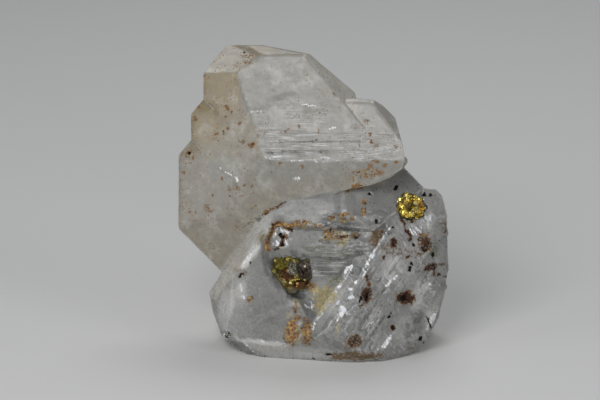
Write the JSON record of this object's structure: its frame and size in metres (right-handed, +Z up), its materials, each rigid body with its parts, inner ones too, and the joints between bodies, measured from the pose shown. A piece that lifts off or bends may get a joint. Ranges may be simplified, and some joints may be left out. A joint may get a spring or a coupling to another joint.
{
  "type": "calcite and chalcopyrite specimen",
  "caption": "Flat-faced calcite crystals grown together, with small brassy chalcopyrite growths set in their front: a mineral specimen that stands on its own flat base for display.",
  "frame": {"origin": "middle of the bottom of the bounding box, in the plane of the flat base", "axes": "+Z up as the specimen stands, +X to the right of the display side as it is looked at, +Y from the display side towards the back"},
  "size_m": [0.0602, 0.0398, 0.0631],
  "materials": {
    "calcite": "satin",
    "chalcopyrite_bright": "gloss",
    "chalcopyrite_tarnished": "gloss"
  },
  "bodies": {
    "root": {"calcite_crystals": "calcite", "chalcopyrite_crystal": "chalcopyrite_tarnished", "chalcopyrite_cluster": "chalcopyrite_bright", "chalcopyrite_small_crystal": "chalcopyrite_bright"}
  },
  "joints": []
}
